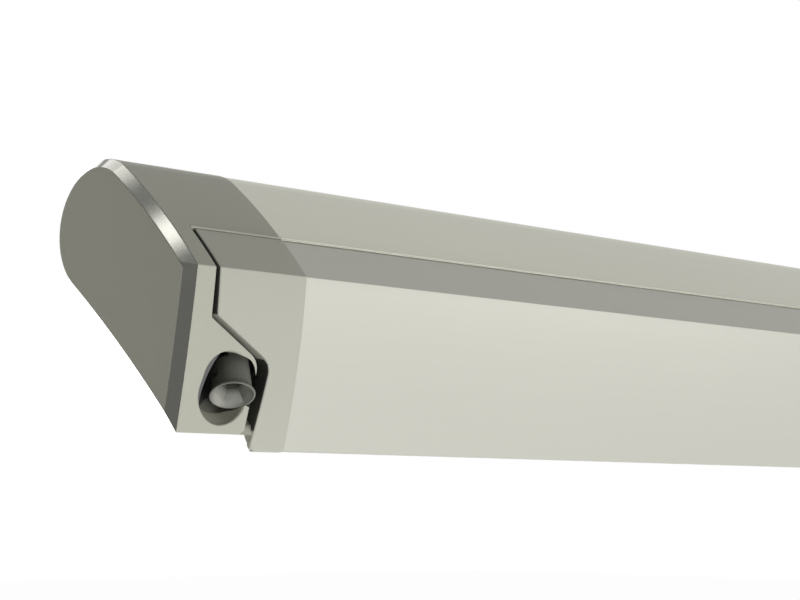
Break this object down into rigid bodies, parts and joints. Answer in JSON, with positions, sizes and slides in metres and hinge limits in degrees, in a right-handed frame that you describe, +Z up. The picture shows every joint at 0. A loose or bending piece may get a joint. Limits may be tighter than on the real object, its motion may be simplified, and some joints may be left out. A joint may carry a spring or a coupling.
{
  "type": "roll out awning",
  "caption": "Cassette awning for a camper: sloping case with a fabric roller, folding arms, a lead rail with telescopic legs and a crank drive in one end cap.",
  "frame": {"origin": "on the sloping bracket seat under the case, at mid length", "axes": "+X along the awning away from the crank end, +Y towards the vehicle, +Z up"},
  "size_m": [3.5, 0.1497, 0.1946],
  "materials": {
    "case_paint": "light grey powder coat",
    "cap_paint": "warm grey paint with a fine metallic grain",
    "cast_aluminium": "as cast",
    "steel": "zinc plated",
    "bearing_plastic": "moulded",
    "seal_rubber": "matt",
    "roller_metal": "mill finish",
    "wheel_bronze": "machined",
    "canopy_fabric": "coated awning cloth",
    "arm_paint": "light grey powder coat",
    "spring_steel": "oiled",
    "rail_paint": "pale champagne grey powder coat",
    "keder_plastic": "extruded",
    "leg_metal": "satin anodised",
    "black_plastic": "moulded",
    "eye_metal": "grey coated casting"
  },
  "bodies": {
    "cassette": {"cassette_profile": "case_paint", "end_cap_left": "cap_paint", "end_cap_right": "cap_paint", "end_plate_left": "cast_aluminium", "end_plate_right": "cast_aluminium", "plate_screws": "steel", "roller_bearings": "bearing_plastic", "gearbox_housing": "bearing_plastic", "shoulder_bracket_left": "cast_aluminium", "shoulder_bracket_right": "cast_aluminium", "shoulder_pins": "steel", "shoulder_bolts": "steel", "cassette_seal": "seal_rubber"},
    "roller": {"roller_tube": "roller_metal", "roller_plug_left": "bearing_plastic", "roller_plug_right": "bearing_plastic", "worm_wheel": "wheel_bronze", "fabric_roll": "canopy_fabric"},
    "canopy": {"canopy": "canopy_fabric"},
    "upper_arm_left": {"upper_arm_left": "arm_paint", "shoulder_knuckle_left": "cast_aluminium", "elbow_yoke_left": "cast_aluminium", "arm_spring_left": "spring_steel"},
    "upper_arm_right": {"upper_arm_right": "arm_paint", "shoulder_knuckle_right": "cast_aluminium", "elbow_yoke_right": "cast_aluminium", "arm_spring_right": "spring_steel"},
    "forearm_left": {"forearm_left": "arm_paint", "elbow_tongue_left": "cast_aluminium", "elbow_pin_left": "steel", "hand_knuckle_left": "cast_aluminium"},
    "forearm_right": {"forearm_right": "arm_paint", "elbow_tongue_right": "cast_aluminium", "elbow_pin_right": "steel", "hand_knuckle_right": "cast_aluminium"},
    "lead_rail": {"lead_rail_profile": "rail_paint", "rail_end_cap_left": "rail_paint", "rail_end_cap_right": "rail_paint", "hand_bracket_left": "cast_aluminium", "hand_bracket_right": "cast_aluminium", "hand_pins": "steel", "leg_bracket_left": "bearing_plastic", "leg_bracket_right": "bearing_plastic", "leg_pins": "steel", "leg_catches": "bearing_plastic", "front_keder": "keder_plastic"},
    "leg_left": {"leg_outer_left": "leg_metal", "leg_collar_left": "black_plastic"},
    "leg_right": {"leg_outer_right": "leg_metal", "leg_collar_right": "black_plastic"},
    "lever_left": {"leg_lever_left": "black_plastic"},
    "lever_right": {"leg_lever_right": "black_plastic"},
    "leg_inner_left": {"leg_inner_left": "leg_metal", "leg_foot_left": "black_plastic"},
    "leg_inner_right": {"leg_inner_right": "leg_metal", "leg_foot_right": "black_plastic"},
    "worm_shaft": {"worm_shaft": "steel"},
    "crank_cross": {"crank_cross": "eye_metal"},
    "crank_eye": {"crank_eye": "eye_metal"}
  },
  "joints": [
    {"name": "shoulder_left", "type": "hinge", "parent": "cassette", "child": "upper_arm_left", "pos_m": [-1.4, -0.018, 0.0222], "axis": [0, 0.1392, -0.9903], "range_deg": [0, 72]},
    {"name": "elbow_left", "type": "hinge", "parent": "upper_arm_left", "child": "forearm_left", "pos_m": [-0.09, -0.03003, 0.02051], "axis": [0, -0.1392, 0.9903], "range_deg": [0, 144]},
    {"name": "hand_left", "type": "hinge", "parent": "forearm_left", "child": "lead_rail", "pos_m": [-1.4, -0.04206, 0.01882], "axis": [0, 0.1392, -0.9903], "range_deg": [0, 72]},
    {"name": "shoulder_right", "type": "hinge", "parent": "cassette", "child": "upper_arm_right", "pos_m": [1.4, -0.018, 0.0222], "axis": [0, -0.1392, 0.9903], "range_deg": [0, 72]},
    {"name": "elbow_right", "type": "hinge", "parent": "upper_arm_right", "child": "forearm_right", "pos_m": [0.09, -0.03003, 0.02051], "axis": [0, 0.1392, -0.9903], "range_deg": [0, 144]},
    {"name": "roller_turn", "type": "hinge", "parent": "cassette", "child": "roller", "pos_m": [0, 0.01585, 0.07848], "axis": [1, 0, 0], "range_deg": [0, 3960]},
    {"name": "canopy_slide", "type": "slide", "parent": "cassette", "child": "canopy", "axis": [0, -0.9903, -0.1392], "range_m": [0, 2.475], "deforming": ["canopy"]},
    {"name": "worm_spin", "type": "hinge", "parent": "cassette", "child": "worm_shaft", "pos_m": [-1.703, -0.0705, -0.033], "axis": [0.2761, 0.4418, 0.8536], "range_deg": [0, 23760]},
    {"name": "cross_tilt", "type": "hinge", "parent": "worm_shaft", "child": "crank_cross", "pos_m": [-1.69306, -0.05459, -0.00227], "axis": [-0.848, 0.5299, 0], "range_deg": [0, 10]},
    {"name": "eye_tilt", "type": "hinge", "parent": "crank_cross", "child": "crank_eye", "pos_m": [-1.69306, -0.05459, -0.00227], "axis": [0.4523, 0.7239, -0.521], "range_deg": [0, 8]},
    {"name": "leg_left_hinge", "type": "hinge", "parent": "lead_rail", "child": "leg_left", "pos_m": [-1.6, -0.0472, -0.024], "axis": [0, 1, 0], "range_deg": [0, 90]},
    {"name": "leg_right_hinge", "type": "hinge", "parent": "lead_rail", "child": "leg_right", "pos_m": [1.6, -0.0472, -0.024], "axis": [0, -1, 0], "range_deg": [0, 90]},
    {"name": "leg_left_slide", "type": "slide", "parent": "leg_left", "child": "leg_inner_left", "axis": [1, 0, 0], "range_m": [0, 0.9]},
    {"name": "leg_right_slide", "type": "slide", "parent": "leg_right", "child": "leg_inner_right", "axis": [-1, 0, 0], "range_m": [0, 0.9]},
    {"name": "lever_left_turn", "type": "hinge", "parent": "leg_left", "child": "lever_left", "pos_m": [-0.54, -0.0472, -0.039], "axis": [0, -1, 0], "range_deg": [0, 100]},
    {"name": "lever_right_turn", "type": "hinge", "parent": "leg_right", "child": "lever_right", "pos_m": [0.54, -0.0472, -0.039], "axis": [0, 1, 0], "range_deg": [0, 100]}
  ],
  "couplings": [
    {"joint": "elbow_left", "follows": "shoulder_left", "ratio": 2},
    {"joint": "hand_left", "follows": "shoulder_left", "ratio": 1},
    {"joint": "shoulder_right", "follows": "shoulder_left", "ratio": 1},
    {"joint": "elbow_right", "follows": "shoulder_left", "ratio": 2},
    {"joint": "roller_turn", "follows": "shoulder_left", "ratio": 55},
    {"joint": "canopy_slide", "follows": "shoulder_left", "m_per_rad": 1.9695},
    {"joint": "worm_spin", "follows": "shoulder_left", "ratio": 330}
  ]
}
